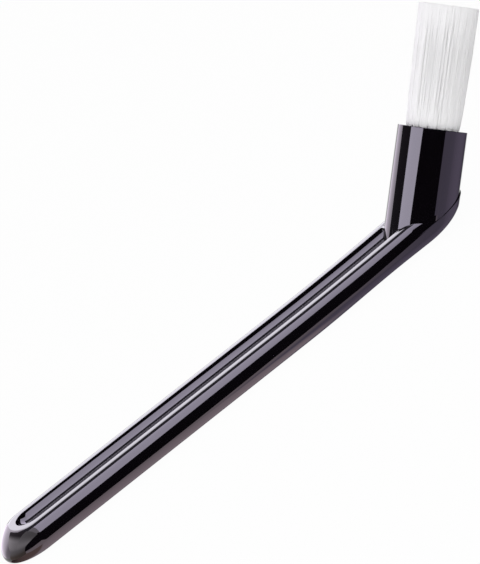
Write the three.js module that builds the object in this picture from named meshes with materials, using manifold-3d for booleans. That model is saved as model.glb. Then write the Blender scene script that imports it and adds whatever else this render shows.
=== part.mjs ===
// A hand brush for cleaning the group head of a coffee machine: one moulded handle, a flat round-edged bar
// with a grip trough in its top, bent up at one end into a round head. Tufts of nylon filament stand in
// rings of blind holes in the head's end face, and a flat metal anchor across each hole holds its folded tuft.
// Millimetres, +Z up. The origin lies on the flat underside, midway along it. +X runs from nose to head.
import * as THREE from "three";
import { mergeVertices } from "three/addons/utils/BufferGeometryUtils.js";
import Module from "manifold-3d";

const wasm = await Module();
wasm.setup();

// The bar. BAR_LENGTH runs from the nose to the bend, where the head's axis crosses the bar's mid-plane.
const BAR_LENGTH = 178;
const BAR_WIDTH = 23.6;
const BAR_THICKNESS = 9.6;
const EDGE_BAND = 0.6; // upright band left between the rounded upper and lower edges
const NOSE_LEAN = 0.6; // the nose's slope: how far it leans out per unit of height, going down
const HEEL_STEP = 0.4; // the bar's heel stands proud of the head by this much
const HEEL_RISE = 1.4; // the underside lifts by this much towards the heel
const HEEL_RISE_LENGTH = 39; // length of underside, ahead of the bend, over which it starts to lift

// The grip trough in the bar's top: a flat floor with concave walls that end at a steep rim.
const TROUGH_WIDTH = 11.2;
const TROUGH_DEPTH = 2.7;
const TROUGH_SLOPE = THREE.MathUtils.degToRad(65); // slope of the walls at the rim
const TROUGH_NOSE_RIM = 8.5; // rim left between the trough and the nose
const TROUGH_END = 11; // from the bend to the trough's end, at the foot of the head

// The tuft holes set the head's width.
const RING_COUNT = 3; // rings of tufts around the middle one
const TUFT_RADIUS = 0.95;
const TUFT_CLEARANCE = 0.15;
const HOLE_WEB = 0.4; // plastic left between two holes
const HEAD_WALL = 2.8; // plastic outside the outer holes
const HEAD_ANGLE = THREE.MathUtils.degToRad(48.6); // between the bar and the head's axis
const HEAD_REACH = 32.8; // from the bend to the end face, along the head's axis
const MOUTH_CHAMFER = 0.4;

// Each ring of tufts is fused to a slice of the end face.
const SLICE_THICKNESS = 1.5;
const SLICE_GAP = 0.3;
const ROOT_DEPTH = 6.5; // how deep a tuft is set below its slice
const FOLD_DEPTH = 0.8; // filament folded under the anchor

// The bristles. Each tuft spreads towards its tip, and the rings lean outwards.
const BRISTLE_LENGTH = 41;
const STRANDS_PER_TUFT = 10;
const STRAND_RADIUS = 0.17;
const STRAND_SINK = 0.6; // how deep a strand is fused into its slice
const RING_FLARE = 1.17; // tip radius of a ring over its radius at the end face
const TUFT_FLARE = 1.3; // the same, within one tuft

// The flat anchors.
const ANCHOR_THICKNESS = 0.3;
const ANCHOR_HEIGHT = 1.6;
const ANCHOR_CLEARANCE = 0.15;

// Facets round each kind of curve.
const OUTLINE_SEGMENTS = 10; // in a quarter turn
const EDGE_SEGMENTS = 6;
const TROUGH_SEGMENTS = 5;
const HEAD_SIDES = 48;
const HOLE_SIDES = 8;
const STRAND_SIDES = 3;
const SLICE_SIDES = 36;

const halfWidth = BAR_WIDTH / 2;
const edgeRadius = (BAR_THICKNESS - EDGE_BAND) / 2;
const holeRadius = TUFT_RADIUS + TUFT_CLEARANCE;
const holeDepth = ROOT_DEPTH + SLICE_GAP;
const pitch = 2 * holeRadius + HOLE_WEB;
const headRadius = RING_COUNT * pitch + holeRadius + HEAD_WALL;
const pocketRadius = (RING_COUNT + 0.5) * pitch;
const pocketDepth = SLICE_THICKNESS + SLICE_GAP;
const noseX = -BAR_LENGTH;
const flatStartX = noseX + halfWidth;
const flatEndX = -HEEL_RISE_LENGTH;
const bendX = -(flatStartX + flatEndX) / 2;
const GOLDEN_ANGLE = Math.PI * (3 - Math.sqrt(5));

const blackPlastic = new THREE.MeshStandardMaterial({ color: 0x0b0a0d, roughness: 0.12, metalness: 0 });
const nylon = new THREE.MeshStandardMaterial({ color: 0xe9e9e6, roughness: 0.5, metalness: 0 });
const anchorMetal = new THREE.MeshStandardMaterial({ color: 0xb9b6a8, roughness: 0.35, metalness: 1 });

// A closed geometry as a solid that can be joined and cut.
function solid(geometry) {
  const bare = geometry.clone();
  bare.deleteAttribute("normal");
  bare.deleteAttribute("uv");
  const merged = mergeVertices(bare, 1e-4);
  const vertProperties = new Float32Array(merged.attributes.position.array);
  const triVerts = new Uint32Array(merged.index.array);
  return new wasm.Manifold(new wasm.Mesh({ numProp: 3, vertProperties, triVerts }));
}

// A solid as a named mesh.
function meshOf(name, body, material) {
  const made = body.getMesh();
  const geometry = new THREE.BufferGeometry();
  geometry.setAttribute("position", new THREE.BufferAttribute(made.vertProperties, 3));
  geometry.setIndex(new THREE.BufferAttribute(made.triVerts, 1));
  geometry.computeVertexNormals();
  const mesh = new THREE.Mesh(geometry, material);
  mesh.name = name;
  return mesh;
}

const joined = (bodies) => bodies.reduce((whole, body) => whole.add(body));

// A round bar along Z between two heights.
function post(radius, low, high, sides, x = 0, y = 0) {
  const geometry = new THREE.CylinderGeometry(radius, radius, high - low, sides);
  return geometry.rotateX(Math.PI / 2).translate(x, y, (low + high) / 2);
}

// The head's own frame has its origin in the end face and +Z out of it. This turns and moves it to the bend.
const headTurn = Math.PI / 2 - HEAD_ANGLE;
const bend = new THREE.Vector3(bendX, 0, BAR_THICKNESS / 2);
const headAxis = new THREE.Vector3(Math.cos(HEAD_ANGLE), 0, Math.sin(HEAD_ANGLE));
const endFace = bend.clone().addScaledVector(headAxis, HEAD_REACH);
const inHead = new THREE.Matrix4().makeRotationY(headTurn).setPosition(endFace);

// Centres of the tufts of one ring, in the head's frame.
function ringCentres(ring) {
  if (ring === 0) return [new THREE.Vector2(0, 0)];
  const count = 6 * ring;
  const centres = [];
  for (let i = 0; i < count; i += 1) {
    const turn = (2 * Math.PI * i) / count;
    centres.push(new THREE.Vector2(ring * pitch * Math.cos(turn), ring * pitch * Math.sin(turn)));
  }
  return centres;
}

const rings = [...Array(RING_COUNT + 1).keys()];
const allCentres = rings.flatMap(ringCentres);

// One side of the bar's plan, from the nose tip to the heel tip: points about the bend with outward normals.
function barSide() {
  const heelReach = (headRadius + HEEL_STEP) / Math.sin(HEAD_ANGLE);
  const nose = [];
  const heel = [];
  for (let i = 0; i <= OUTLINE_SEGMENTS; i += 1) {
    const turn = ((i / OUTLINE_SEGMENTS) * Math.PI) / 2;
    const out = new THREE.Vector2(-Math.cos(turn), -Math.sin(turn));
    nose.push({ at: new THREE.Vector2(flatStartX, 0).addScaledVector(out, halfWidth), out });
    const back = new THREE.Vector2(Math.sin(turn) / heelReach, -Math.cos(turn) / halfWidth).normalize();
    heel.push({ at: new THREE.Vector2(heelReach * Math.sin(turn), -halfWidth * Math.cos(turn)), out: back });
  }
  const straight = [1, 0.75, 0.5, 0.25].map((share) => ({
    at: new THREE.Vector2(-share * HEEL_RISE_LENGTH, -halfWidth),
    out: new THREE.Vector2(0, -1),
  }));
  return [...nose, ...straight, ...heel];
}

// A whole plan: one side and its mirror image, nose tip first.
function wholePlan(side) {
  const mirrored = side.slice(1, -1).toReversed().map(({ at, out }) => ({
    at: new THREE.Vector2(at.x, -at.y),
    out: new THREE.Vector2(out.x, -out.y),
  }));
  return [...side, ...mirrored];
}

// Inset and height of each ring round the bar, from the underside over the rounded edges to the top.
function edgeRings() {
  const lower = [];
  for (let i = 0; i <= EDGE_SEGMENTS; i += 1) {
    const turn = ((i / EDGE_SEGMENTS) * Math.PI) / 2;
    const height = -EDGE_BAND / 2 - edgeRadius * Math.cos(turn);
    lower.push({ inset: edgeRadius * (1 - Math.sin(turn)), height });
  }
  const upper = lower.toReversed().map(({ inset, height }) => ({ inset, height: -height }));
  return [...lower, ...upper];
}

// A point of the bar: the nose leans out, the heel slants along the head, the underside lifts to the heel.
function barPoint({ at, out }, { inset, height }) {
  const x = at.x - inset * out.x;
  const y = at.y - inset * out.y;
  const lean = NOSE_LEAN * THREE.MathUtils.clamp((flatStartX - x) / halfWidth, 0, 1);
  const slant = at.x < 0 ? 0 : 1 / Math.tan(HEAD_ANGLE);
  const climb = Math.max(0, 1 + x / HEEL_RISE_LENGTH);
  const below = Math.max(0, (-2 * height) / BAR_THICKNESS);
  const z = BAR_THICKNESS / 2 + height + HEEL_RISE * climb * climb * below;
  return [bendX + x + (lean + slant) * height, y, z];
}

// A closed skin round a plan: bands between the rings, and crosswise strips over the underside and the top.
function skin(plan, rings, place) {
  const count = plan.length;
  const top = (rings.length - 1) * count;
  const faces = [];
  for (let low = 0; low < top; low += count) {
    for (let i = 0; i < count; i += 1) {
      const next = (i + 1) % count;
      faces.push(low + i, low + next, low + count + next);
      faces.push(low + i, low + count + next, low + count + i);
    }
  }
  for (let i = 0; i < count / 2; i += 1) {
    const far = (count - i) % count;
    const farNext = count - i - 1;
    if (farNext !== i + 1) faces.push(i, farNext, i + 1, top + i, top + i + 1, top + farNext);
    if (far !== i) faces.push(i, far, farNext, top + i, top + farNext, top + far);
  }
  const points = rings.flatMap((ring) => plan.flatMap((at) => place(at, ring)));
  const geometry = new THREE.BufferGeometry();
  geometry.setAttribute("position", new THREE.Float32BufferAttribute(points, 3));
  geometry.setIndex(faces);
  return solid(geometry);
}

// One side of the trough's plan: a round end at the nose and a square one at the head.
function troughSide() {
  const radius = TROUGH_WIDTH / 2;
  const centre = new THREE.Vector2(noseX + TROUGH_NOSE_RIM + radius, 0);
  const side = [];
  for (let i = 0; i <= OUTLINE_SEGMENTS; i += 1) {
    const turn = ((i / OUTLINE_SEGMENTS) * Math.PI) / 2;
    const out = new THREE.Vector2(-Math.cos(turn), -Math.sin(turn));
    side.push({ at: centre.clone().addScaledVector(out, radius), out });
  }
  side.push({ at: new THREE.Vector2(-TROUGH_END, -radius), out: new THREE.Vector2(0, -1) });
  side.push({ at: new THREE.Vector2(-TROUGH_END, 0), out: new THREE.Vector2(0, 0) });
  return side;
}

// Inset and height of each ring round the trough, from its floor up the concave walls and out of the top.
function troughRings() {
  const curve = TROUGH_DEPTH / (1 - Math.cos(TROUGH_SLOPE));
  const walls = [];
  for (let i = 0; i <= TROUGH_SEGMENTS; i += 1) {
    const slope = (i / TROUGH_SEGMENTS) * TROUGH_SLOPE;
    const inset = curve * (Math.sin(TROUGH_SLOPE) - Math.sin(slope));
    walls.push({ inset, height: curve * (Math.cos(TROUGH_SLOPE) - Math.cos(slope)) });
  }
  return [...walls, { inset: 0, height: TROUGH_DEPTH }];
}

// A point of the trough, from the level of the bar's top.
function troughPoint({ at, out }, { inset, height }) {
  return [bendX + at.x - inset * out.x, at.y - inset * out.y, BAR_THICKNESS + height];
}

// The round head, cut off inside the bar at its mid-plane.
function headSolid() {
  const inside = 3 * headRadius;
  const profile = [
    new THREE.Vector2(0, -HEAD_REACH - inside),
    new THREE.Vector2(headRadius, -HEAD_REACH - inside),
    new THREE.Vector2(headRadius, -MOUTH_CHAMFER),
    new THREE.Vector2(headRadius - MOUTH_CHAMFER, 0),
    new THREE.Vector2(0, 0),
  ];
  const geometry = new THREE.LatheGeometry(profile, HEAD_SIDES).rotateX(Math.PI / 2).applyMatrix4(inHead);
  const side = 4 * (HEAD_REACH + inside);
  const above = new THREE.BoxGeometry(side, side, side).translate(bendX, 0, side / 2 + BAR_THICKNESS / 2);
  return solid(geometry).intersect(solid(above));
}

// The shallow pocket for the slices and the blind tuft holes below it.
function tuftSpace() {
  const pocket = post(pocketRadius, -pocketDepth, SLICE_THICKNESS, SLICE_SIDES);
  const low = -pocketDepth - holeDepth;
  const holes = allCentres.map((at) => post(holeRadius, low, -SLICE_THICKNESS, HOLE_SIDES, at.x, at.y));
  return joined([pocket, ...holes].map((geometry) => solid(geometry.applyMatrix4(inHead))));
}

function handle() {
  const bar = skin(wholePlan(barSide()), edgeRings(), barPoint);
  const trough = skin(wholePlan(troughSide()), troughRings(), troughPoint);
  const body = bar.subtract(trough).add(headSolid()).subtract(tuftSpace());
  return meshOf("handle", body, blackPlastic);
}

// One strand, leaning straight from its foot to its tip.
function strand(foot, tip) {
  const geometry = post(STRAND_RADIUS, -STRAND_SINK, BRISTLE_LENGTH, STRAND_SIDES);
  const leanX = (tip.x - foot.x) / BRISTLE_LENGTH;
  const leanY = (tip.y - foot.y) / BRISTLE_LENGTH;
  const lean = new THREE.Matrix4().set(1, 0, leanX, foot.x, 0, 1, leanY, foot.y, 0, 0, 1, 0, 0, 0, 0, 1);
  return solid(geometry.applyMatrix4(lean));
}

// Strands of one tuft, spread evenly over it on a sunflower spiral.
function tuftStrands(centre) {
  const strands = [];
  for (let i = 0; i < STRANDS_PER_TUFT; i += 1) {
    const reach = (TUFT_RADIUS - STRAND_RADIUS) * Math.sqrt((i + 0.5) / STRANDS_PER_TUFT);
    const offset = new THREE.Vector2(reach, 0).rotateAround(new THREE.Vector2(), i * GOLDEN_ANGLE);
    const foot = centre.clone().add(offset);
    const tip = centre.clone().multiplyScalar(RING_FLARE).addScaledVector(offset, TUFT_FLARE);
    strands.push(strand(foot, tip));
  }
  return strands;
}

const rootEnd = -SLICE_THICKNESS - ROOT_DEPTH;
const anchorMiddle = rootEnd + FOLD_DEPTH + ANCHOR_CLEARANCE + ANCHOR_HEIGHT / 2;

// The folded root of a tuft, with the window that its anchor passes through.
function tuftRoot(centre) {
  const root = solid(post(TUFT_RADIUS, rootEnd, -SLICE_THICKNESS / 2, HOLE_SIDES, centre.x, centre.y));
  const width = ANCHOR_THICKNESS + 2 * ANCHOR_CLEARANCE;
  const height = ANCHOR_HEIGHT + 2 * ANCHOR_CLEARANCE;
  const box = new THREE.BoxGeometry(width, 4 * TUFT_RADIUS, height);
  return root.subtract(solid(box.translate(centre.x, centre.y, anchorMiddle)));
}

// The slice of the end face that a ring of tufts is set in.
function slice(ring) {
  const outer = (ring + 0.5) * pitch - SLICE_GAP;
  const disc = solid(post(outer, -SLICE_THICKNESS, 0, SLICE_SIDES));
  if (ring === 0) return disc;
  const inner = (ring - 0.5) * pitch;
  return disc.subtract(solid(post(inner, -2 * SLICE_THICKNESS, SLICE_THICKNESS, SLICE_SIDES)));
}

function tuftRing(name, ring) {
  const centres = ringCentres(ring);
  const pieces = [slice(ring), ...centres.map(tuftRoot), ...centres.flatMap(tuftStrands)];
  return meshOf(name, joined(pieces), nylon);
}

// A flat strip across its hole, through the fold of its tuft.
function anchor(name, centre) {
  const flatToFlat = 2 * holeRadius * Math.cos(Math.PI / HOLE_SIDES);
  const geometry = new THREE.BoxGeometry(ANCHOR_THICKNESS, flatToFlat - 2 * ANCHOR_CLEARANCE, ANCHOR_HEIGHT);
  const mesh = new THREE.Mesh(geometry, anchorMetal);
  mesh.name = name;
  mesh.position.set(centre.x, centre.y, anchorMiddle);
  return mesh;
}

const RING_NAMES = ["centre", "inner", "middle", "outer"];
const brush = new THREE.Group();
const head = new THREE.Group();
head.position.copy(endFace);
head.rotation.y = headTurn;
for (const ring of rings) head.add(tuftRing(`bristles_${RING_NAMES[ring] ?? ring}`, ring));
allCentres.forEach((at, i) => head.add(anchor(`tuft_anchor_${String(i + 1).padStart(2, "0")}`, at)));
brush.add(handle(), head);

export default brush;
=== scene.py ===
import math

import bmesh
import bpy
import numpy as np
from mathutils import Matrix, Vector


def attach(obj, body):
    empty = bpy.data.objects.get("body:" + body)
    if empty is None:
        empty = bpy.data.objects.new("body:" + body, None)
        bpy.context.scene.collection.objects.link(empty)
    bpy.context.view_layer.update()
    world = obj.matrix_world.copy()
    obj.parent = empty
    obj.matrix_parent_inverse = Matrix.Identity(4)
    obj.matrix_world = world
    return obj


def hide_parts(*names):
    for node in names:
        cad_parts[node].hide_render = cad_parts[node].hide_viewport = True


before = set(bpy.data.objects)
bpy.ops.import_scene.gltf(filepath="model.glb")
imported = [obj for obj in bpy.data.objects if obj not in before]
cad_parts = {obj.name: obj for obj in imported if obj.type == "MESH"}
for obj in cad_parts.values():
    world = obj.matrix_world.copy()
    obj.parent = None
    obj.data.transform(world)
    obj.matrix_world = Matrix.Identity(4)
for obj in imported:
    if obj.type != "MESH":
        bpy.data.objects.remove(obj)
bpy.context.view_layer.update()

MM = 0.001
ROOT = "root"

# Sizes of the brush, in millimetres. X along the bar is counted from the bend, where the head's axis
# crosses the bar's mid-plane. The row's origin is in the middle of the solid's flat underside.
BAR_LENGTH, BAR_WIDTH, BAR_THICKNESS = 178.0, 23.6, 9.6
FLAT_END = -39.0
# The upright band round the bar's edge, and how far the heel stands proud of the head.
EDGE_BAND, HEEL_STEP = 0.1, 0.6
# The nose's tip leans out by this share of the height.
NOSE_LEAN = 0.6

# Towards the head the edge's upright band grows upwards, and the underside and the deck rise. Each has
# its rise and the X where that starts and ends. TOP_FALL is where the deck comes down, inside the head.
BAND_RISE, BAND_START, BAND_END, BAND_POWER = 2.3, -34.0, 7.0, 1.2
HEEL_RISE, HEEL_RISE_START, HEEL_RISE_END = 1.15, -55.0, -12.0
TOP_RISE, TOP_RISE_START, TOP_RISE_END = 1.1, -62.0, -8.0
TOP_FALL = 0.0, 6.0
# Powers by which the band's rise dies out up the rounded edge, on the bar and at the heel, and the X
# between which one goes over into the other.
BAR_EDGE_POWER, HEEL_EDGE_POWER, POWER_START, POWER_END = 0.75, 1.9, -8.0, 2.0

# The concave grip trough in the deck.
TROUGH_WIDTH, TROUGH_DEPTH, TROUGH_SLOPE = 11.4, 2.7, math.radians(72)
TROUGH_NOSE_RIM, TROUGH_END, TROUGH_CORNER = 8.5, 9.9, 0.4
RIM_RADIUS = 0.12

# The round head and its blind tuft holes: a middle one and rings of 6, 12 and 18.
HEAD_ANGLE, HEAD_REACH, HEAD_RADIUS = math.radians(48.6), 32.8, 11.7
MOUTH_ROUND = 0.15
RING_COUNT, RING_GAIN, PITCH = 3, 6, 2.6
HOLE_RADIUS, HOLE_DEPTH = 1.1, 8.6
RING_NAMES = "centre", "inner", "middle", "outer"

# The bristles: filaments of each tuft, some of them a dense skin on the outer ring.
BRISTLE_LENGTH, ROOT_DEPTH, ROOT_CLEARANCE = 41.0, 8.0, 0.3
TUFT_RADIUS, FILAMENT_RADIUS = 1.05, 0.095
FILAMENTS, SKIN, FILAMENT_SIDES = 100, 24, 5
TIP_PITCH = 2.88
LENGTH_SPREAD, SWAY_SPREAD = 0.2, 0.08
ANCHOR_CLEARANCE, ANCHOR_SQUEEZE = 0.3, 0.5
# Steps of an even scatter across and along a tuft's share of the block, and how far it runs past its sides.
EVEN_ACROSS, EVEN_ALONG, OVERLAP = 0.7549, 0.5698, 0.1
# Where the skin's filaments stand in their own shares across, and along the ring's depth.
SKIN_JITTER, SKIN_DEPTH = (0.3, 0.7), (0.94, 0.98)
# How far a tuft has opened, from its round hole to its whole share of the block, at shares of the length.
OPENING = ((0.0, 0.35), (0.012, 0.7), (0.05, 0.9), (0.2, 1.0), (0.6, 1.0), (1.0, 1.0))
SEED = 37

HALF_WIDTH = BAR_WIDTH / 2
EDGE_RADIUS = (BAR_THICKNESS - EDGE_BAND) / 2
FLAT_START = HALF_WIDTH - BAR_LENGTH
BEND = np.array([-(FLAT_START + FLAT_END) / 2, 0.0, BAR_THICKNESS / 2])
AXIS = np.array([math.cos(HEAD_ANGLE), 0.0, math.sin(HEAD_ANGLE)])
ACROSS = np.array([math.sin(HEAD_ANGLE), 0.0, -math.cos(HEAD_ANGLE)])
MOUTH = BEND + HEAD_REACH * AXIS
HEEL_REACH = (HEAD_RADIUS + HEEL_STEP) / math.sin(HEAD_ANGLE)

# Steps of the bar's mesh. Its last stretch leans over to the head's slant and has finer steps.
NOSE_STEPS, SIDE_STEPS, HEEL_STEPS, CORNER_STEPS = 40, 90, 40, 20
SLANT_LENGTH, SLANT_STEPS = 20.0, 60
EDGE_STEPS, RIM_STEPS, TROUGH_STEPS = 40, 5, 26
# How far from a rounded edge a flat face has a ring of its own, to keep the smooth shading off the face.
SUPPORT = 0.15
# The share of its growth at which the upright band has such a ring.
BAND_SUPPORT = 0.95


def in_head(points):
    """Points of the head's own frame, its origin in the end face and +Z out of it, in the row frame."""
    points = np.asarray(points, float)
    side = np.array([0.0, 1.0, 0.0])
    return MOUTH + points[:, :1] * ACROSS + points[:, 1:2] * side + points[:, 2:] * AXIS


def new_object(name, points, faces):
    """A mesh object from points in millimetres."""
    mesh = bpy.data.meshes.new(name)
    mesh.from_pydata((np.asarray(points) * MM).tolist(), [], faces)
    mesh.validate()
    obj = bpy.data.objects.new(name, mesh)
    bpy.context.scene.collection.objects.link(obj)
    return obj


def arc(start, end, steps):
    """Evenly spaced values from start to end, both included."""
    return np.linspace(start, end, steps + 1)


def around(count):
    """Evenly spaced angles of a whole turn."""
    return np.linspace(0, 2 * math.pi, count, endpoint=False)


def ring_faces(low, high, count):
    """Faces between two closed rings of count points, which start at the indices low and high."""
    faces = []
    for i in range(count):
        j = (i + 1) % count
        faces.append((low + i, low + j, high + j, high + i))
    return faces


def smooth_step(x, start, end):
    """0 up to start, 1 from end on, and a smooth rise between them."""
    share = np.clip((x - start) / (end - start), 0, 1)
    return share**2 * (3 - 2 * share)


# The bar.


def stretch(start, middle, end):
    """X along one side: coarse steps from start to middle and fine ones on to end, both ends left out."""
    coarse = np.linspace(start, middle, SIDE_STEPS - SLANT_STEPS + 1)[1:]
    fine = np.linspace(middle, end, SLANT_STEPS + 1)[1:-1]
    return np.concatenate([coarse, fine])


def bar_side():
    """One side of the bar's plan from nose tip to heel tip: points and outward normals."""
    turn = arc(0, math.pi / 2, NOSE_STEPS)
    nose_out = np.stack([-np.cos(turn), -np.sin(turn)], 1)
    nose = np.array([FLAT_START, 0]) + HALF_WIDTH * nose_out
    x = stretch(FLAT_START, -SLANT_LENGTH, 0)
    side = np.stack([x, np.full_like(x, -HALF_WIDTH)], 1)
    side_out = np.tile([0.0, -1.0], (len(x), 1))
    turn = arc(0, math.pi / 2, HEEL_STEPS)
    heel = np.stack([HEEL_REACH * np.sin(turn), -HALF_WIDTH * np.cos(turn)], 1)
    heel_out = np.stack([np.sin(turn) / HEEL_REACH, -np.cos(turn) / HALF_WIDTH], 1)
    heel_out /= np.linalg.norm(heel_out, axis=1)[:, None]
    return np.concatenate([nose, side, heel]), np.concatenate([nose_out, side_out, heel_out])


def trough_side():
    """One side of the trough's plan, point for point with the bar's, and the normals of its round nose end.

    The head end is square, with small round corners.
    """
    radius = TROUGH_WIDTH / 2
    centre = TROUGH_NOSE_RIM + radius - BAR_LENGTH
    turn = arc(0, math.pi / 2, NOSE_STEPS)
    nose_out = np.stack([-np.cos(turn), -np.sin(turn)], 1)
    nose = np.array([centre, 0]) + radius * nose_out
    x = stretch(centre, -SLANT_LENGTH, -TROUGH_END - TROUGH_CORNER)
    side = np.stack([x, np.full_like(x, -radius)], 1)
    turn = arc(0, math.pi / 2, CORNER_STEPS)
    corner = np.stack([np.sin(turn) - 1, 1 - np.cos(turn)], 1) * TROUGH_CORNER + [-TROUGH_END, -radius]
    y = np.linspace(corner[-1, 1], 0, HEEL_STEPS - CORNER_STEPS + 1)[1:]
    end = np.stack([np.full_like(y, -TROUGH_END), y], 1)
    return np.concatenate([nose, side, corner, end]), nose_out


def mirrored(half):
    """A whole ring from one side: nose tip, one side, heel tip, other side."""
    other = half[1:-1][::-1].copy()
    other[:, 1] *= -1
    return np.concatenate([half, other])


def band_rise(x):
    """How far the top of the upright edge band has risen on its way along the bar and beside the head."""
    share = np.clip((x - BAND_START) / (BAND_END - BAND_START), 0, 1)
    return BAND_RISE * share**BAND_POWER


def top_rise(x):
    """How far the deck has risen towards the head; inside the head it comes down again."""
    share = np.clip((x - TOP_RISE_START) / (TOP_RISE_END - TOP_RISE_START), 0, 1)
    return TOP_RISE * share**2 * (1 - smooth_step(x, *TOP_FALL))


def upper_lift(x, share, grown):
    """Lift of the upper side at a share of its height.

    It goes over from the band's rise at the foot to the deck's rise at the top.
    """
    blend = smooth_step(x, POWER_START, POWER_END)
    power = BAR_EDGE_POWER + (HEEL_EDGE_POWER - BAR_EDGE_POWER) * blend
    return top_rise(x) * share + grown * band_rise(x) * (1 - share) ** power


def bar_ring(side, out, inset, height, grown=1.0):
    """A ring of the bar, drawn in from its plan by inset, at a height over the mid-plane.

    The nose leans out and the heel slants along the head. The edge's upright band has grown by the given
    share of its rise.
    """
    at = side - inset * out
    lean = NOSE_LEAN * np.clip((FLAT_START - at[:, 0]) / HALF_WIDTH, 0, 1)
    slant = np.clip(1 + side[:, 0] / SLANT_LENGTH, 0, 1) / math.tan(HEAD_ANGLE)
    x = at[:, 0] + (lean + slant) * height
    share = 2 * abs(height) / BAR_THICKNESS
    if height < 0:
        lift = HEEL_RISE * smooth_step(x, HEEL_RISE_START, HEEL_RISE_END) * share
    else:
        lift = upper_lift(x, share, grown)
        x = x + slant * lift
    return mirrored(np.column_stack([x, at[:, 1], height + lift]))


def edge_rings():
    """Rings from the underside over the rounded edges to the deck."""
    side, out = bar_side()
    rings = [bar_ring(side, out, EDGE_RADIUS + SUPPORT, -BAR_THICKNESS / 2)]
    for turn in arc(0, math.pi / 2, EDGE_STEPS):
        height = -EDGE_BAND / 2 - EDGE_RADIUS * math.cos(turn)
        rings.append(bar_ring(side, out, EDGE_RADIUS * (1 - math.sin(turn)), height))
    rings.append(bar_ring(side, out, 0, 0, BAND_SUPPORT))
    for turn in arc(math.pi / 2, 0, EDGE_STEPS):
        height = EDGE_BAND / 2 + EDGE_RADIUS * math.cos(turn)
        rings.append(bar_ring(side, out, EDGE_RADIUS * (1 - math.sin(turn)), height))
    rings.append(bar_ring(side, out, EDGE_RADIUS + SUPPORT, BAR_THICKNESS / 2))
    return rings


def trough_ring(side, nose_out, inset, depth):
    """A ring of the trough, drawn in from its rim by inset and sunk by depth."""
    radius = TROUGH_WIDTH / 2
    at = side.copy()
    at[: NOSE_STEPS + 1] -= inset * nose_out
    at[NOSE_STEPS + 1 :, 1] *= (radius - inset) / radius
    return mirrored(np.column_stack([at, BAR_THICKNESS / 2 - depth + top_rise(at[:, 0])]))


def trough_rings():
    """Rings from the deck over the trough's rim and down its curved wall to the middle of its floor."""
    side, nose_out = trough_side()
    tangent = RIM_RADIUS * math.tan(TROUGH_SLOPE / 2)
    rings = [trough_ring(side, nose_out, -tangent - SUPPORT, 0)]
    for slope in arc(0, TROUGH_SLOPE, RIM_STEPS):
        inset = RIM_RADIUS * math.sin(slope) - tangent
        rings.append(trough_ring(side, nose_out, inset, RIM_RADIUS * (1 - math.cos(slope))))
    curve = TROUGH_DEPTH / (1 - math.cos(TROUGH_SLOPE))
    for slope in arc(TROUGH_SLOPE, 0, TROUGH_STEPS)[1:]:
        inset = curve * (math.sin(TROUGH_SLOPE) - math.sin(slope))
        depth = curve * (math.cos(slope) - math.cos(TROUGH_SLOPE))
        rings.append(trough_ring(side, nose_out, inset, depth))
    return rings


def bar_object():
    """The bar: its rings joined, with strips from side to side over the first ring and the last."""
    rings = [*edge_rings(), *trough_rings()]
    count = len(rings[0])
    points = np.concatenate(rings) + BEND
    faces = []
    for k in range(len(rings) - 1):
        faces += ring_faces(k * count, (k + 1) * count, count)
    last = (len(rings) - 1) * count
    for i in range(count // 2):
        strip = list(dict.fromkeys([i, i + 1, count - i - 1, (count - i) % count]))
        faces.append(tuple(strip[::-1]))
        faces.append(tuple(last + k for k in strip))
    return new_object("handle_bar", points, faces)


# The head and the whole moulding.


def head_rows():
    """The head's angles and its rows, from a slanted foot in the bar's mid-plane to its rounded mouth.

    A row has a radius and its height at each angle.
    """
    sides, wall_steps, mouth_steps = 192, 24, 6
    turn = around(sides)
    foot = HEAD_RADIUS * np.cos(turn) / math.tan(HEAD_ANGLE) - HEAD_REACH
    top = -MOUTH_ROUND - SUPPORT
    rows = [(HEAD_RADIUS, foot + (top - foot) * share) for share in arc(0, 1, wall_steps)]
    for t in arc(0, math.pi / 2, mouth_steps):
        radius = HEAD_RADIUS - MOUTH_ROUND * (1 - math.cos(t))
        rows.append((radius, np.full(sides, MOUTH_ROUND * (math.sin(t) - 1))))
    return turn, rows


def head_object():
    """The round head, closed by fans of faces round the middles of its foot and its mouth."""
    turn, rows = head_rows()
    sides = len(turn)
    points = [np.stack([r * np.cos(turn), r * np.sin(turn), z], 1) for r, z in rows]
    points = np.concatenate([*points, [(0, 0, -HEAD_REACH), (0, 0, 0)]])
    faces = []
    for k in range(len(rows) - 1):
        faces += ring_faces(k * sides, (k + 1) * sides, sides)
    low, high, last = len(points) - 2, len(points) - 1, (len(rows) - 1) * sides
    for i in range(sides):
        j = (i + 1) % sides
        faces.append((low, j, i))
        faces.append((high, last + i, last + j))
    return new_object("handle_head", in_head(points), faces)


def tuft_centres():
    """Centre and ring of each tuft, in the head's frame."""
    found = [(0.0, 0.0, 0)]
    for ring in range(1, RING_COUNT + 1):
        count = RING_GAIN * ring
        for i in range(count):
            turn = 2 * math.pi * i / count
            found.append((ring * PITCH * math.cos(turn), ring * PITCH * math.sin(turn), ring))
    return found


def holes_object():
    """The blind tuft holes as one cutter, which stands clear of the end face."""
    sides, clear = 24, 1.0
    circle = [(HOLE_RADIUS * math.cos(t), HOLE_RADIUS * math.sin(t)) for t in around(sides)]
    points, faces = [], []
    for x, y, _ in tuft_centres():
        first = len(points)
        for z in (-HOLE_DEPTH, clear):
            points += [(x + across, y + along, z) for across, along in circle]
        faces += ring_faces(first, first + sides, sides)
        faces.append(tuple(first + i for i in reversed(range(sides))))
        faces.append(tuple(first + sides + i for i in range(sides)))
    return new_object("tuft_holes", in_head(points), faces)


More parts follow.
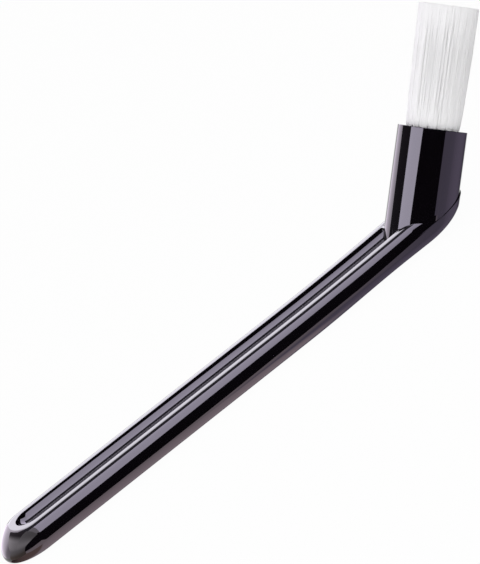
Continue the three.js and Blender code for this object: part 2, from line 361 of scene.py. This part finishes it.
def boolean(target, tool, operation):
    """Joins or cuts target with tool, applies the result and deletes the tool."""
    modifier = target.modifiers.new("boolean", "BOOLEAN")
    modifier.object = tool
    modifier.operation = operation
    modifier.solver = "EXACT"
    depsgraph = bpy.context.evaluated_depsgraph_get()
    mesh = bpy.data.meshes.new_from_object(target.evaluated_get(depsgraph))
    target.modifiers.clear()
    old = target.data
    target.data = mesh
    bpy.data.meshes.remove(old)
    bpy.data.objects.remove(tool, do_unlink=True)


def on_head(point):
    """True for a point of the row frame on the head's round wall or end face."""
    near = 0.01
    from_mouth = np.array(point) / MM - MOUTH
    along = from_mouth @ AXIS
    radius = np.linalg.norm(from_mouth - along * AXIS)
    return abs(radius - HEAD_RADIUS) < near or along > -MOUTH_ROUND - near


def sharpen(obj, angle):
    """Smooth shading with sharp edges above an angle, and along the crease between the bar and the head."""
    mesh = obj.data
    mesh.shade_smooth()
    mesh.set_sharp_from_angle(angle=angle)
    bm = bmesh.new()
    bm.from_mesh(mesh)
    of_head = [all(on_head(v.co) for v in f.verts) for f in bm.faces]
    for edge in bm.edges:
        if len({of_head[f.index] for f in edge.link_faces}) == 2:
            edge.smooth = False
    bm.to_mesh(mesh)
    bm.free()


def handle():
    """The moulding: the bar joined with the head, and the tuft holes cut into it."""
    bar = bar_object()
    boolean(bar, head_object(), "UNION")
    boolean(bar, holes_object(), "DIFFERENCE")
    sharpen(bar, angle=math.radians(30))
    bar.name = "handle_moulding"
    return bar


# The bristles.


def fan(ring, turn, across, along):
    """Places in a tuft's share of the block, a sector of its ring, in pitches.

    Across and along are shares of the sector. Across may run a little past its sides.
    """
    if ring == 0:
        radius = 0.5 * np.sqrt(along)
        angle = 2 * math.pi * across
    else:
        inner, outer = ring - 0.5, ring + 0.5
        radius = np.sqrt(inner**2 + (outer**2 - inner**2) * along)
        angle = turn + (across - 0.5) * 2 * math.pi / (RING_GAIN * ring)
    return np.stack([radius * np.cos(angle), radius * np.sin(angle)], 1)


def scatter(ring, rng):
    """Even places of a tuft's filaments, across and along its share of the block."""
    i = np.arange(FILAMENTS)
    across = (i * EVEN_ACROSS + rng.uniform()) % 1 * (1 + 2 * OVERLAP) - OVERLAP
    along = (i * EVEN_ALONG + rng.uniform()) % 1
    if ring == RING_COUNT:
        across[:SKIN] = (np.arange(SKIN) + rng.uniform(*SKIN_JITTER, SKIN)) / SKIN
        along[:SKIN] = rng.uniform(*SKIN_DEPTH, SKIN)
    return across, along


def gathered(offset):
    """Places about a tuft's centre, drawn in to fill its round hole evenly, in the same order outward."""
    reach = np.linalg.norm(offset, axis=1)
    rank = np.argsort(np.argsort(reach))
    wanted = (TUFT_RADIUS - FILAMENT_RADIUS) * np.sqrt((rank + 0.5) / FILAMENTS)
    return offset * (wanted / reach)[:, None]


def filament_paths(centre, ring, rng):
    """Centre lines of one tuft's filaments, from beside the anchor up through the hole to the cut tips."""
    centre = np.array(centre)
    turn = math.atan2(centre[1], centre[0])
    share_of_block = fan(ring, turn, *scatter(ring, rng))
    offset = gathered(share_of_block * PITCH - centre)
    beside = offset.copy()
    beside[:, 0] = np.sign(offset[:, 0]) * (ANCHOR_CLEARANCE + ANCHOR_SQUEEZE * np.abs(offset[:, 0]))
    length = BRISTLE_LENGTH - np.abs(rng.normal(0, LENGTH_SPREAD, FILAMENTS))
    sway = rng.normal(0, SWAY_SPREAD, offset.shape)
    rows = [np.column_stack([centre + beside, np.full(FILAMENTS, -ROOT_DEPTH + ROOT_CLEARANCE)])]
    for share, opened in OPENING:
        spread = share_of_block * (PITCH + (TIP_PITCH - PITCH) * share)
        at = (centre + offset) * (1 - opened) + spread * opened + sway * math.sin(math.pi * share)
        rows.append(np.column_stack([at, length * share]))
    return np.stack(rows, 1)


def tubes(paths, radius, sides):
    """Points and faces of straight-ended tubes along paths, an array of path, point and coordinate."""
    count, steps, _ = paths.shape
    turn = around(sides)
    circle = np.stack([np.cos(turn), np.sin(turn), np.zeros(sides)], 1) * radius
    points = (paths[:, :, None, :] + circle[None, None]).reshape(-1, 3)
    one = []
    for k in range(steps - 1):
        one += ring_faces(k * sides, (k + 1) * sides, sides)
    one.append(tuple(reversed(range(sides))))
    one.append(tuple((steps - 1) * sides + i for i in range(sides)))
    faces = [tuple(f + n * steps * sides for f in face) for n in range(count) for face in one]
    return points, faces


def bristles():
    """One piece for each ring of tufts."""
    rng = np.random.default_rng(SEED)
    made = []
    for ring, name in enumerate(RING_NAMES):
        paths = [filament_paths((x, y), r, rng) for x, y, r in tuft_centres() if r == ring]
        points, faces = tubes(np.concatenate(paths), FILAMENT_RADIUS, FILAMENT_SIDES)
        obj = new_object(f"filaments_{name}", in_head(points), faces)
        obj.data.shade_smooth()
        obj.data.set_sharp_from_angle(angle=math.radians(80))
        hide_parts(f"bristles_{name}")
        made.append(obj)
    return made


# Materials.


def principled(name, color, roughness, metallic=0.0):
    """A new material, its node tree and its shader, whose colour and roughness may be varied later."""
    material = bpy.data.materials.new(name)
    material.use_nodes = True
    tree = material.node_tree
    shader = tree.nodes["Principled BSDF"]
    shader.inputs["Base Color"].default_value = (*color, 1)
    shader.inputs["Roughness"].default_value = roughness
    shader.inputs["Metallic"].default_value = metallic
    return material, tree, shader


def noise(tree, scale, detail, stretched=(1, 1, 1)):
    """Noise over the object's own coordinates, in metres."""
    coords = tree.nodes.new("ShaderNodeTexCoord")
    mapping = tree.nodes.new("ShaderNodeMapping")
    mapping.inputs["Scale"].default_value = stretched
    texture = tree.nodes.new("ShaderNodeTexNoise")
    texture.inputs["Scale"].default_value = scale
    texture.inputs["Detail"].default_value = detail
    tree.links.new(coords.outputs["Object"], mapping.inputs["Vector"])
    tree.links.new(mapping.outputs["Vector"], texture.inputs["Vector"])
    return texture.outputs["Fac"]


def vary_color(tree, shader, source, low, high):
    """Lets the colour run from low to high with the source."""
    node = tree.nodes.new("ShaderNodeValToRGB")
    node.color_ramp.elements[0].color = (*low, 1)
    node.color_ramp.elements[1].color = (*high, 1)
    tree.links.new(source, node.inputs["Fac"])
    tree.links.new(node.outputs["Color"], shader.inputs["Base Color"])


def vary_roughness(tree, shader, source, low, high):
    """Lets the roughness run from low to high with the source."""
    node = tree.nodes.new("ShaderNodeMapRange")
    node.inputs["To Min"].default_value = low
    node.inputs["To Max"].default_value = high
    tree.links.new(source, node.inputs["Value"])
    tree.links.new(node.outputs["Result"], shader.inputs["Roughness"])


def bump(tree, shader, source, strength, distance):
    """Raises the surface with the source, by this distance in metres."""
    node = tree.nodes.new("ShaderNodeBump")
    node.inputs["Strength"].default_value = strength
    node.inputs["Distance"].default_value = distance
    tree.links.new(source, node.inputs["Height"])
    tree.links.new(node.outputs["Normal"], shader.inputs["Normal"])


def handle_plastic():
    """Glossy black plastic with a faint violet cast, fine flow marks and a slightly uneven polish."""
    material, tree, shader = principled("handle_plastic", (0.0025, 0.0018, 0.003), 0.07)
    shader.inputs["IOR"].default_value = 1.5
    flow = noise(tree, scale=90, detail=4, stretched=(0.25, 1, 1))
    vary_color(tree, shader, flow, (0.0018, 0.0012, 0.002), (0.0035, 0.0026, 0.004))
    vary_roughness(tree, shader, noise(tree, scale=240, detail=3), 0.02, 0.05)
    waves = noise(tree, scale=160, detail=2, stretched=(0.4, 1, 1))
    bump(tree, shader, waves, strength=0.03, distance=0.0002)
    return material


def bristle_nylon():
    """White nylon filament: each strand a little different in whiteness, with a soft sheen."""
    material, tree, shader = principled("bristle_nylon", (0.9, 0.9, 0.89), 0.42)
    strand = tree.nodes.new("ShaderNodeNewGeometry").outputs["Random Per Island"]
    vary_color(tree, shader, strand, (0.93, 0.93, 0.93), (0.97, 0.97, 0.97))
    vary_roughness(tree, shader, strand, 0.35, 0.5)
    return material


def anchor_metal():
    """Plain rolled strip with drawn lines."""
    material, tree, shader = principled("anchor_metal", (0.6, 0.55, 0.4), 0.35, metallic=1.0)
    lines = noise(tree, scale=4000, detail=2, stretched=(1, 0.05, 1))
    vary_color(tree, shader, lines, (0.52, 0.47, 0.33), (0.66, 0.61, 0.46))
    vary_roughness(tree, shader, lines, 0.28, 0.42)
    return material


def dress(obj, material):
    """Gives a piece its material."""
    obj.data.materials.clear()
    obj.data.materials.append(material)


# The stage: world, floor, reflection cards and lamps.


def seen_directly(tree):
    """1 for camera, glossy and transmission rays, and 0 for the light that falls on the object."""
    path = tree.nodes.new("ShaderNodeLightPath")
    total = path.outputs["Is Camera Ray"]
    for ray in ("Is Glossy Ray", "Is Transmission Ray"):
        either = tree.nodes.new("ShaderNodeMath")
        either.operation = "MAXIMUM"
        tree.links.new(total, either.inputs[0])
        tree.links.new(path.outputs[ray], either.inputs[1])
        total = either.outputs[0]
    return total


def white_world(light):
    """White where it is seen, and a lower even light on the object."""
    world = bpy.data.worlds.new("studio")
    bpy.context.scene.world = world
    world.use_nodes = True
    tree = world.node_tree
    lit = tree.nodes["Background"]
    lit.inputs["Color"].default_value = (1, 1, 1, 1)
    lit.inputs["Strength"].default_value = light
    seen = tree.nodes.new("ShaderNodeBackground")
    seen.inputs["Color"].default_value = (1, 1, 1, 1)
    mix = tree.nodes.new("ShaderNodeMixShader")
    tree.links.new(seen_directly(tree), mix.inputs["Fac"])
    tree.links.new(lit.outputs[0], mix.inputs[1])
    tree.links.new(seen.outputs[0], mix.inputs[2])
    tree.links.new(mix.outputs[0], tree.nodes["World Output"].inputs["Surface"])


def floor_white(glow):
    """A matt white that glows by this share where it is seen, so it stays white and keeps a soft shadow."""
    material, tree, shader = principled("floor_white", (0.9, 0.9, 0.9), 0.9)
    shader.inputs["Specular IOR Level"].default_value = 0
    emission = tree.nodes.new("ShaderNodeEmission")
    scale = tree.nodes.new("ShaderNodeMath")
    scale.operation = "MULTIPLY"
    scale.inputs[1].default_value = glow
    mix = tree.nodes.new("ShaderNodeMixShader")
    tree.links.new(seen_directly(tree), scale.inputs[0])
    tree.links.new(scale.outputs[0], mix.inputs["Fac"])
    tree.links.new(shader.outputs[0], mix.inputs[1])
    tree.links.new(emission.outputs[0], mix.inputs[2])
    tree.links.new(mix.outputs[0], tree.nodes["Material Output"].inputs["Surface"])
    return material


def white_floor(glow):
    """A square floor just under the brush, which isn't mirrored in it."""
    reach, gap = 4000.0, 0.03
    corners = ((-reach, -reach), (reach, -reach), (reach, reach), (-reach, reach))
    floor = new_object("floor", [(x, y, -gap) for x, y in corners], [(0, 1, 2, 3)])
    floor.data.materials.append(floor_white(glow))
    floor.visible_glossy = False


def faded(tree, light, axis, start, end, share):
    """The light, which falls along an axis, between start and end, to this share of each channel."""
    coords = tree.nodes.new("ShaderNodeTexCoord")
    split = tree.nodes.new("ShaderNodeSeparateXYZ")
    fall = tree.nodes.new("ShaderNodeMapRange")
    fall.interpolation_type = "SMOOTHSTEP"
    fall.inputs["From Min"].default_value = start
    fall.inputs["From Max"].default_value = end
    scale = tree.nodes.new("ShaderNodeMix")
    scale.data_type = "VECTOR"
    scale.inputs["A"].default_value = (1, 1, 1)
    scale.inputs["B"].default_value = share
    product = tree.nodes.new("ShaderNodeVectorMath")
    product.operation = "MULTIPLY"
    tree.links.new(coords.outputs["Object"], split.inputs[0])
    tree.links.new(split.outputs[axis], fall.inputs["Value"])
    tree.links.new(fall.outputs["Result"], scale.inputs["Factor"])
    tree.links.new(scale.outputs["Result"], product.inputs[0])
    tree.links.new(light, product.inputs[1])
    return product.outputs[0]


def glow_material(name, color, fades):
    """A material that shines in this colour, with each fade of it: (axis, start, end, share)."""
    material = bpy.data.materials.new(name)
    material.use_nodes = True
    tree = material.node_tree
    tree.nodes.remove(tree.nodes["Principled BSDF"])
    emission = tree.nodes.new("ShaderNodeEmission")
    base = tree.nodes.new("ShaderNodeCombineXYZ")
    for socket, value in zip(base.inputs, color):
        socket.default_value = value
    light = base.outputs[0]
    for fade in fades:
        light = faded(tree, light, *fade)
    tree.links.new(light, emission.inputs["Color"])
    tree.links.new(emission.outputs[0], tree.nodes["Material Output"].inputs["Surface"])
    return material


def card(name, corners, color, *fades):
    """A card, in metres, that only shows in glossy reflections: a lit panel, or a flag where it is dark."""
    obj = new_object(name, np.array(corners) / MM, [(0, 1, 2, 3)])
    obj.data.materials.append(glow_material(name, color, fades))
    obj.visible_camera = False
    obj.visible_diffuse = False
    obj.visible_shadow = False
    obj.visible_transmission = False
    obj.visible_volume_scatter = False


def crosswise(low, high, x0, x1):
    """Corners of a card between two (y, z) edges that run along X."""
    return [(x0, *low), (x1, *low), (x1, *high), (x0, *high)]


def lengthwise(x, y0, y1, z0, z1):
    """Corners of an upright card that runs along Y."""
    return [(x, y0, z0), (x, y1, z0), (x, y1, z1), (x, y0, z1)]


def toward_head(corners, share):
    """The same card as the head sees it, brought in to this share of its distance."""
    head = (MOUTH - 0.5 * HEAD_REACH * AXIS) * MM
    return head + (np.array(corners) - head) * share


# Colours of the cards, and the shares that their fades go down to.
BLACK, DARK, DEEP = (0, 0, 0), (0.24, 0.22, 0.28), (0.1, 0.09, 0.11)
BRIGHT = (5.8, 5.3, 6.7)
BROWN, ASIDE, BEHIND = (0.5, 0.42, 0.35), (0.4, 0.42, 0.54), (0.12, 0.12, 0.12)

# Y and Z of the cards' shared edges, in metres: the ceiling's front, where its flag begins, and its back.
CEILING_FRONT, CEILING_FLAG, CEILING_BACK = (-1.2, 1.0), (0.31, 1.0), (1.25, 1.12)


def ceiling_cards():
    """The softbox over the brush, with a flag behind it, and a dimmer sky over the nose."""
    card("softbox", crosswise(CEILING_FRONT, CEILING_FLAG, 0.0, 2.2), BRIGHT,
         ("X", 0.3, 0.45, (0.85, 0.85, 0.86)))
    card("back_flag", crosswise(CEILING_FLAG, CEILING_BACK, 0.0, 0.7), DARK)
    card("right_softbox", crosswise(CEILING_FLAG, CEILING_BACK, 0.7, 2.2), BRIGHT)
    card("nose_sky", crosswise(CEILING_FRONT, CEILING_BACK, -2.0, 0.0), (2.3, 2.1, 2.4),
         ("X", 0.0, -1.0, (0.6, 0.6, 0.6)))


def head_cards():
    """Cards for the head's streaks, brought near to it. The last one ends the black streak."""
    near = 0.4
    softbox = crosswise((-0.88, 1.0), CEILING_FLAG, -1.42, -0.86)
    card("head_softbox", toward_head(softbox, near), (6.8, 6.3, 7.8))
    card("head_flag", toward_head(crosswise(CEILING_FLAG, CEILING_BACK, -1.36, -0.9), near), DEEP)
    card("left_flag", toward_head(crosswise((1.3, 0.68), CEILING_BACK, -1.42, -0.6), near), DEEP)
    edge = np.array([0.124, -0.0696, 0.0054])
    foot, top, width = -0.0125, 0.03, 0.013
    places = ((foot, 0), (top, 0), (top, width), (foot, width))
    corners = [edge + along * AXIS + across * ACROSS for along, across in places]
    card("head_low", corners, (0.94, 0.8, 1.16))


def nose_cards():
    """A flag just under the ceiling, and low cards over the nose that draw its soft streak.

    The low cards also hide the head's cards from the nose.
    """
    drop = 0.02
    flag_front, flag_back = ((y, z - drop) for y, z in (CEILING_FLAG, CEILING_BACK))
    card("nose_flag", crosswise(flag_front, flag_back, -0.3, 0.0), DARK)
    height, front, split, back = 0.127, -0.15, 0.045, 0.24
    left, right = -0.45, -0.09
    outward = ("X", -0.25, left, (0.6, 0.6, 0.6))
    card("nose_cover", crosswise((front, height), (split, height), left, right), (2.6, 2.4, 2.6),
         ("X", -0.25, -0.12, (0.45, 0.45, 0.45)), outward)
    card("nose_streak", crosswise((split, height), (back, height), left, right), (2.4, 2.2, 2.4),
         ("X", -0.2, -0.13, (0.1, 0.09, 0.1)), outward)


def front_flags():
    """The black flag before the brush, in pieces side by side that widen and narrow the bar's black streak.

    Each edge between two pieces has X and Z at its foot, and X and Y at its top.
    """
    foot_y, top_z = -0.9, 0.99
    edges = ((-3.0, -0.25, -3.0, -0.88), (-0.15, -0.25, -0.15, -0.88), (0.1, -0.54, 0.1, -1.2),
             (0.25, -0.54, 0.28, -1.2), (0.36, -0.25, 0.39, -0.77), (0.45, -0.25, 0.48, -0.42),
             (3.0, -0.25, 3.0, -0.42))
    sides = [((foot_x, foot_y, foot_z), (top_x, top_y, top_z)) for foot_x, foot_z, top_x, top_y in edges]
    for i, ((foot, top), (next_foot, next_top)) in enumerate(zip(sides, sides[1:])):
        card(f"front_flag_{i}", [foot, next_foot, next_top, top], BLACK)


def side_cards():
    """The walls: a black flag on the right, a panel on the left, and panels behind the brush."""
    right, left, front, back = 1.4, -2.0, -1.0, 1.3
    card("right_flag", lengthwise(right, front, back, -0.92, 0.8), BLACK)
    card("left_side", lengthwise(left, front, back, -1.0, 1.0), (1.5, 1.4, 1.5), ("Z", 0.8, -0.3, BROWN))
    card("back_panel", crosswise((back, 0.15), CEILING_BACK, 0.05, 0.9), (4.3, 4.15, 4.6))
    card("left_panel", crosswise((back, -0.3), CEILING_BACK, left, 0.05), (2.8, 2.5, 2.95),
         ("X", -0.65, -1.2, (0.5, 0.5, 0.5)))


def low_cards():
    """What the lower half of the edges mirrors: a low wall before the brush, and the table far below."""
    front_foot, front_top, back_foot = (-1.0, -1.0), (-1.0, -0.28), (1.3, -1.0)
    card("low_front", crosswise(front_foot, front_top, -3.0, 3.0), (2.35, 1.9, 2.15),
         ("X", 0.3, 0.5, ASIDE))
    card("table", crosswise(front_foot, back_foot, -3.0, 1.6), (2.6, 2.05, 2.35),
         ("X", 0.33, 0.42, ASIDE), ("X", -0.1, -0.25, BROWN), ("Y", -0.7, 1.1, BEHIND))


def lamp(name, place, aim, size, watts):
    """An area lamp that lights the object and isn't mirrored in it."""
    data = bpy.data.lights.new(name, "AREA")
    data.shape = "RECTANGLE"
    data.size, data.size_y = size
    data.energy = watts
    obj = bpy.data.objects.new(name, data)
    bpy.context.scene.collection.objects.link(obj)
    obj.location = place
    obj.rotation_mode = "QUATERNION"
    obj.rotation_quaternion = (Vector(aim) - Vector(place)).to_track_quat("-Z", "Y")
    obj.visible_glossy = False


def studio():
    """Everything round the brush."""
    white_world(light=0.5)
    white_floor(glow=0.97)
    ceiling_cards()
    head_cards()
    nose_cards()
    front_flags()
    side_cards()
    low_cards()
    lamp("top_light", place=(-0.3, -0.3, 1.2), aim=(0.05, 0, 0.02), size=(1.4, 1.0), watts=2.4)
    lamp("front_light", place=(-0.56, -1.12, 0.5), aim=(0.1, 0, 0.04), size=(0.9, 0.7), watts=6.6)


def camera():
    """The camera, placed by its direction from the aim point and its distance; focal length in pixels."""
    azimuth, elevation, roll = (math.radians(angle) for angle in (-17.3114, 19.7641, -31.8516))
    distance, focal_px, long_side_px = 1057.06, 3248.72, 564
    aim = BEND + np.array([-63.568, 0, 23.4975])
    level = math.cos(elevation)
    back = np.array([math.sin(azimuth) * level, -math.cos(azimuth) * level, math.sin(elevation)])
    right = np.cross(-back, [0, 0, 1])
    right /= np.linalg.norm(right)
    up = np.cross(right, -back)
    turned = math.cos(roll) * right + math.sin(roll) * up
    upright = -math.sin(roll) * right + math.cos(roll) * up
    data = bpy.data.cameras.new("camera")
    data.sensor_width = 36
    data.lens = focal_px * data.sensor_width / long_side_px
    obj = bpy.data.objects.new("camera", data)
    bpy.context.scene.collection.objects.link(obj)
    turn = Matrix(np.stack([turned, upright, back], 1).tolist()).to_4x4()
    obj.matrix_world = Matrix.Translation(Vector((aim + distance * back) * MM)) @ turn
    bpy.context.scene.camera = obj


moulding = handle()
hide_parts("handle")
dress(moulding, handle_plastic())
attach(moulding, ROOT)

nylon = bristle_nylon()
for piece in bristles():
    dress(piece, nylon)
    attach(piece, ROOT)

metal = anchor_metal()
for name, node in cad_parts.items():
    if name.startswith("tuft_anchor"):
        dress(node, metal)

studio()
camera()
bpy.context.scene.view_settings.view_transform = "Standard"
